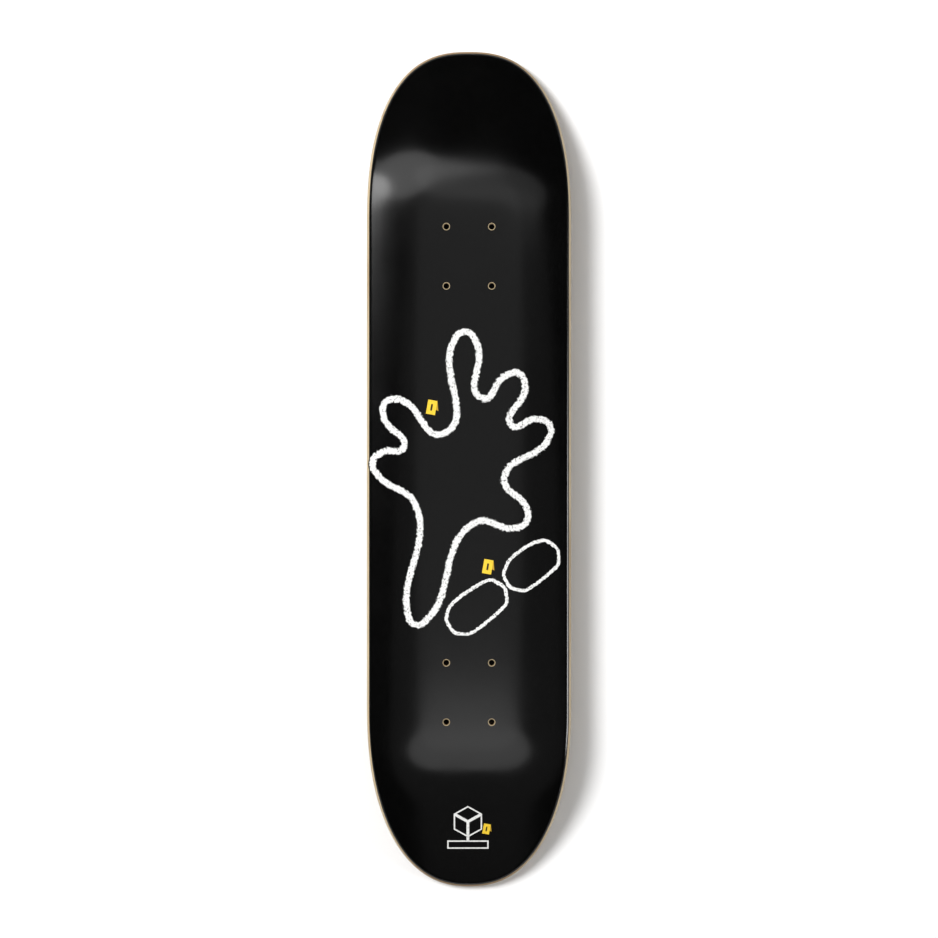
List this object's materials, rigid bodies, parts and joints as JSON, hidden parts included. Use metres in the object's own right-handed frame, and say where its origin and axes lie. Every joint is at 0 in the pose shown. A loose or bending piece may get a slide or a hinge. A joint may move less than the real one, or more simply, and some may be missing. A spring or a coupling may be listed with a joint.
{
  "type": "skateboard deck",
  "caption": "Bare popsicle skateboard deck in pressed maple, concave with nose and tail kicks, drilled for trucks, with a black printed underside.",
  "frame": {"origin": "middle of the deck's box, on the surface that it lies on, riding side down on the tips of its nose and tail", "axes": "+Y towards the nose, +X to the right seen from above, +Z out of the printed underside"},
  "size_m": [0.1864, 0.7704, 0.0558],
  "materials": {
    "maple_long_grain": "sanded",
    "maple_crossband": "sawn end grain",
    "glue_line": "cured wood glue",
    "transfer_film": "satin heat-transfer film",
    "white_ink": "matt printed ink",
    "yellow_ink": "matt printed ink"
  },
  "bodies": {
    "root": {"ply_1_riding_face": "maple_long_grain", "ply_2_long_grain": "maple_long_grain", "ply_3_crossband": "maple_crossband", "ply_4_core": "maple_long_grain", "ply_5_crossband": "maple_crossband", "ply_6_long_grain": "maple_long_grain", "ply_7_underside_face": "maple_long_grain", "glue_line_1": "glue_line", "glue_line_2": "glue_line", "glue_line_3": "glue_line", "glue_line_4": "glue_line", "glue_line_5": "glue_line", "glue_line_6": "glue_line", "graphic_film": "transfer_film", "print_splash_outline": "white_ink", "print_capsule_lower": "white_ink", "print_capsule_upper": "white_ink", "print_tag_upper": "yellow_ink", "print_tag_middle": "yellow_ink", "print_tag_lower": "yellow_ink", "print_emblem": "white_ink"}
  },
  "joints": []
}
